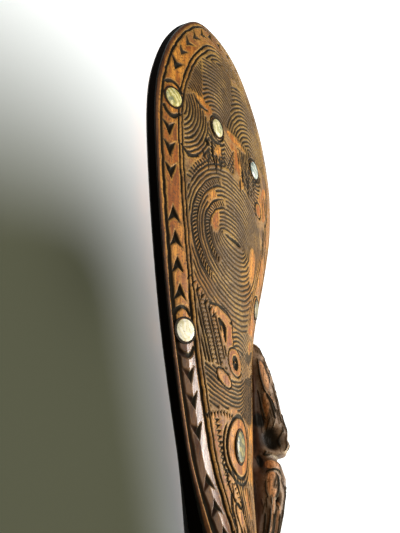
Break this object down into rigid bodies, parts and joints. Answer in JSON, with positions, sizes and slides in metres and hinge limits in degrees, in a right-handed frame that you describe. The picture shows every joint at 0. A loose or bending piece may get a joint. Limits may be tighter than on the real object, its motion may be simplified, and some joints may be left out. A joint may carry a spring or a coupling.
{
  "type": "carved wooden hand club",
  "caption": "Flat short hand club of carved hardwood with a broad rounded blade, a small figure on its concave edge, an oval grip, a cord hole and shell inlays.",
  "frame": {"origin": "centre of the base of the bounding box, on the plane that the club lies on", "axes": "+Y runs from the butt to the blade's tip, +Z comes out of the carved face, -X is the convex edge and +X the edge that carries the figure"},
  "size_m": [0.1131, 0.376, 0.0262],
  "materials": {
    "carved_wood": "oiled hardwood, worn bright on the high places and dark in the cuts",
    "shell": "polished pearly shell, standing in as a hard glossy plate",
    "gum": "dark set gum"
  },
  "bodies": {
    "root": {"club_body": "carved_wood", "border_upper_shell": "shell", "border_upper_gum": "gum", "border_lower_shell": "shell", "border_lower_gum": "gum", "border_figure_side_shell": "shell", "border_figure_side_gum": "gum", "mask_left_eye_shell": "shell", "mask_left_eye_gum": "gum", "mask_right_eye_shell": "shell", "mask_right_eye_gum": "gum", "profile_head_eye_shell": "shell", "profile_head_eye_gum": "gum", "butt_left_eye_shell": "shell", "butt_left_eye_gum": "gum", "butt_right_eye_shell": "shell", "butt_right_eye_gum": "gum"}
  },
  "joints": []
}
